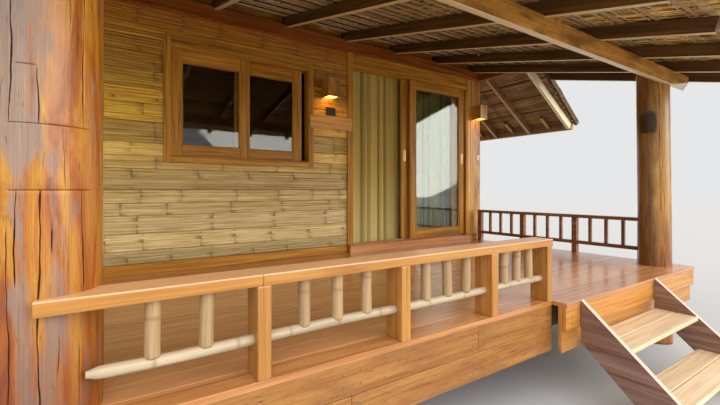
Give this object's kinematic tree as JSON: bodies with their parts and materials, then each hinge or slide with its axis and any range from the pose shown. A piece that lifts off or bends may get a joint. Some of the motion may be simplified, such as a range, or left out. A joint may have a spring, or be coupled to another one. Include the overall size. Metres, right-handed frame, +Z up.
{
  "type": "stilt house",
  "caption": "Timber stilt house with bamboo walls, thatched gable roof, sliding glass doors and a railed veranda under a lean-to thatch with a big log post.",
  "frame": {"origin": "centre of the footprint, on the ground under the stilts", "axes": "+X to the right seen from the stairs, +Y from the stairs to the back wall, +Z up"},
  "size_m": [8.4446, 9.321, 5.5285],
  "materials": {
    "teak_log": "varnished, cracked log",
    "varnished_teak": "glossy orange varnish",
    "deck_teak": "glossy floor varnish",
    "dark_timber": "dark stained, matt",
    "frame_teak": "reddish brown satin varnish",
    "stilt_timber": "weathered, matt",
    "tread_timber": "worn, matt",
    "bamboo_strip": "flattened bamboo, varnished",
    "bamboo_pole": "smooth natural bamboo",
    "palm_thatch": "dry palm leaf, matt",
    "clear_glass": "clear",
    "curtain_cloth": "plain woven cloth",
    "pale_brass": "satin",
    "dark_rod": "dark brown paint"
  },
  "bodies": {
    "house": {"stilts": "stilt_timber", "floor_bearers": "stilt_timber", "floor_joists": "stilt_timber", "deck": "deck_teak", "room_floor": "deck_teak", "front_fascia": "varnished_teak", "entry_fascia": "varnished_teak", "side_fascias": "varnished_teak", "stair_stringers": "dark_timber", "stair_treads": "tread_timber", "log_post": "teak_log", "round_post": "teak_log", "front_beam": "varnished_teak", "corner_posts": "varnished_teak", "wall_sills": "frame_teak", "wall_left_of_window": "bamboo_strip", "wall_under_window": "bamboo_strip", "wall_over_window": "bamboo_strip", "walls_beside_door": "bamboo_strip", "side_walls": "bamboo_strip", "back_wall": "bamboo_strip", "gable_walls": "bamboo_strip", "wall_plates": "frame_teak", "window_frame": "frame_teak", "window_sashes": "frame_teak", "window_glass": "clear_glass", "door_frame": "frame_teak", "door_sill": "varnished_teak", "curtain": "curtain_cloth", "curtain_rod": "dark_rod", "wall_lamps": "varnished_teak", "veranda_rafters": "dark_timber", "veranda_battens": "bamboo_pole", "veranda_thatch": "palm_thatch", "ridge_beam": "dark_timber", "roof_rafters": "dark_timber", "roof_battens": "bamboo_pole", "roof_thatch": "palm_thatch", "ridge_cap": "palm_thatch", "eave_boards": "dark_timber", "handrail": "varnished_teak", "rail_posts": "varnished_teak", "bamboo_rails": "bamboo_pole", "bamboo_balusters": "bamboo_pole", "side_rails": "dark_timber"},
    "left_leaf": {"left_door_leaf": "frame_teak", "left_door_glass": "clear_glass", "left_door_pull": "pale_brass"},
    "right_leaf": {"right_door_leaf": "frame_teak", "right_door_glass": "clear_glass", "right_door_pull": "pale_brass"}
  },
  "joints": [
    {"name": "left_leaf_slide", "type": "slide", "parent": "house", "child": "left_leaf", "axis": [1, 0, 0], "range_m": [-0.852, 0.114]},
    {"name": "right_leaf_slide", "type": "slide", "parent": "house", "child": "right_leaf", "axis": [1, 0, 0], "range_m": [-0.966, 0]}
  ]
}
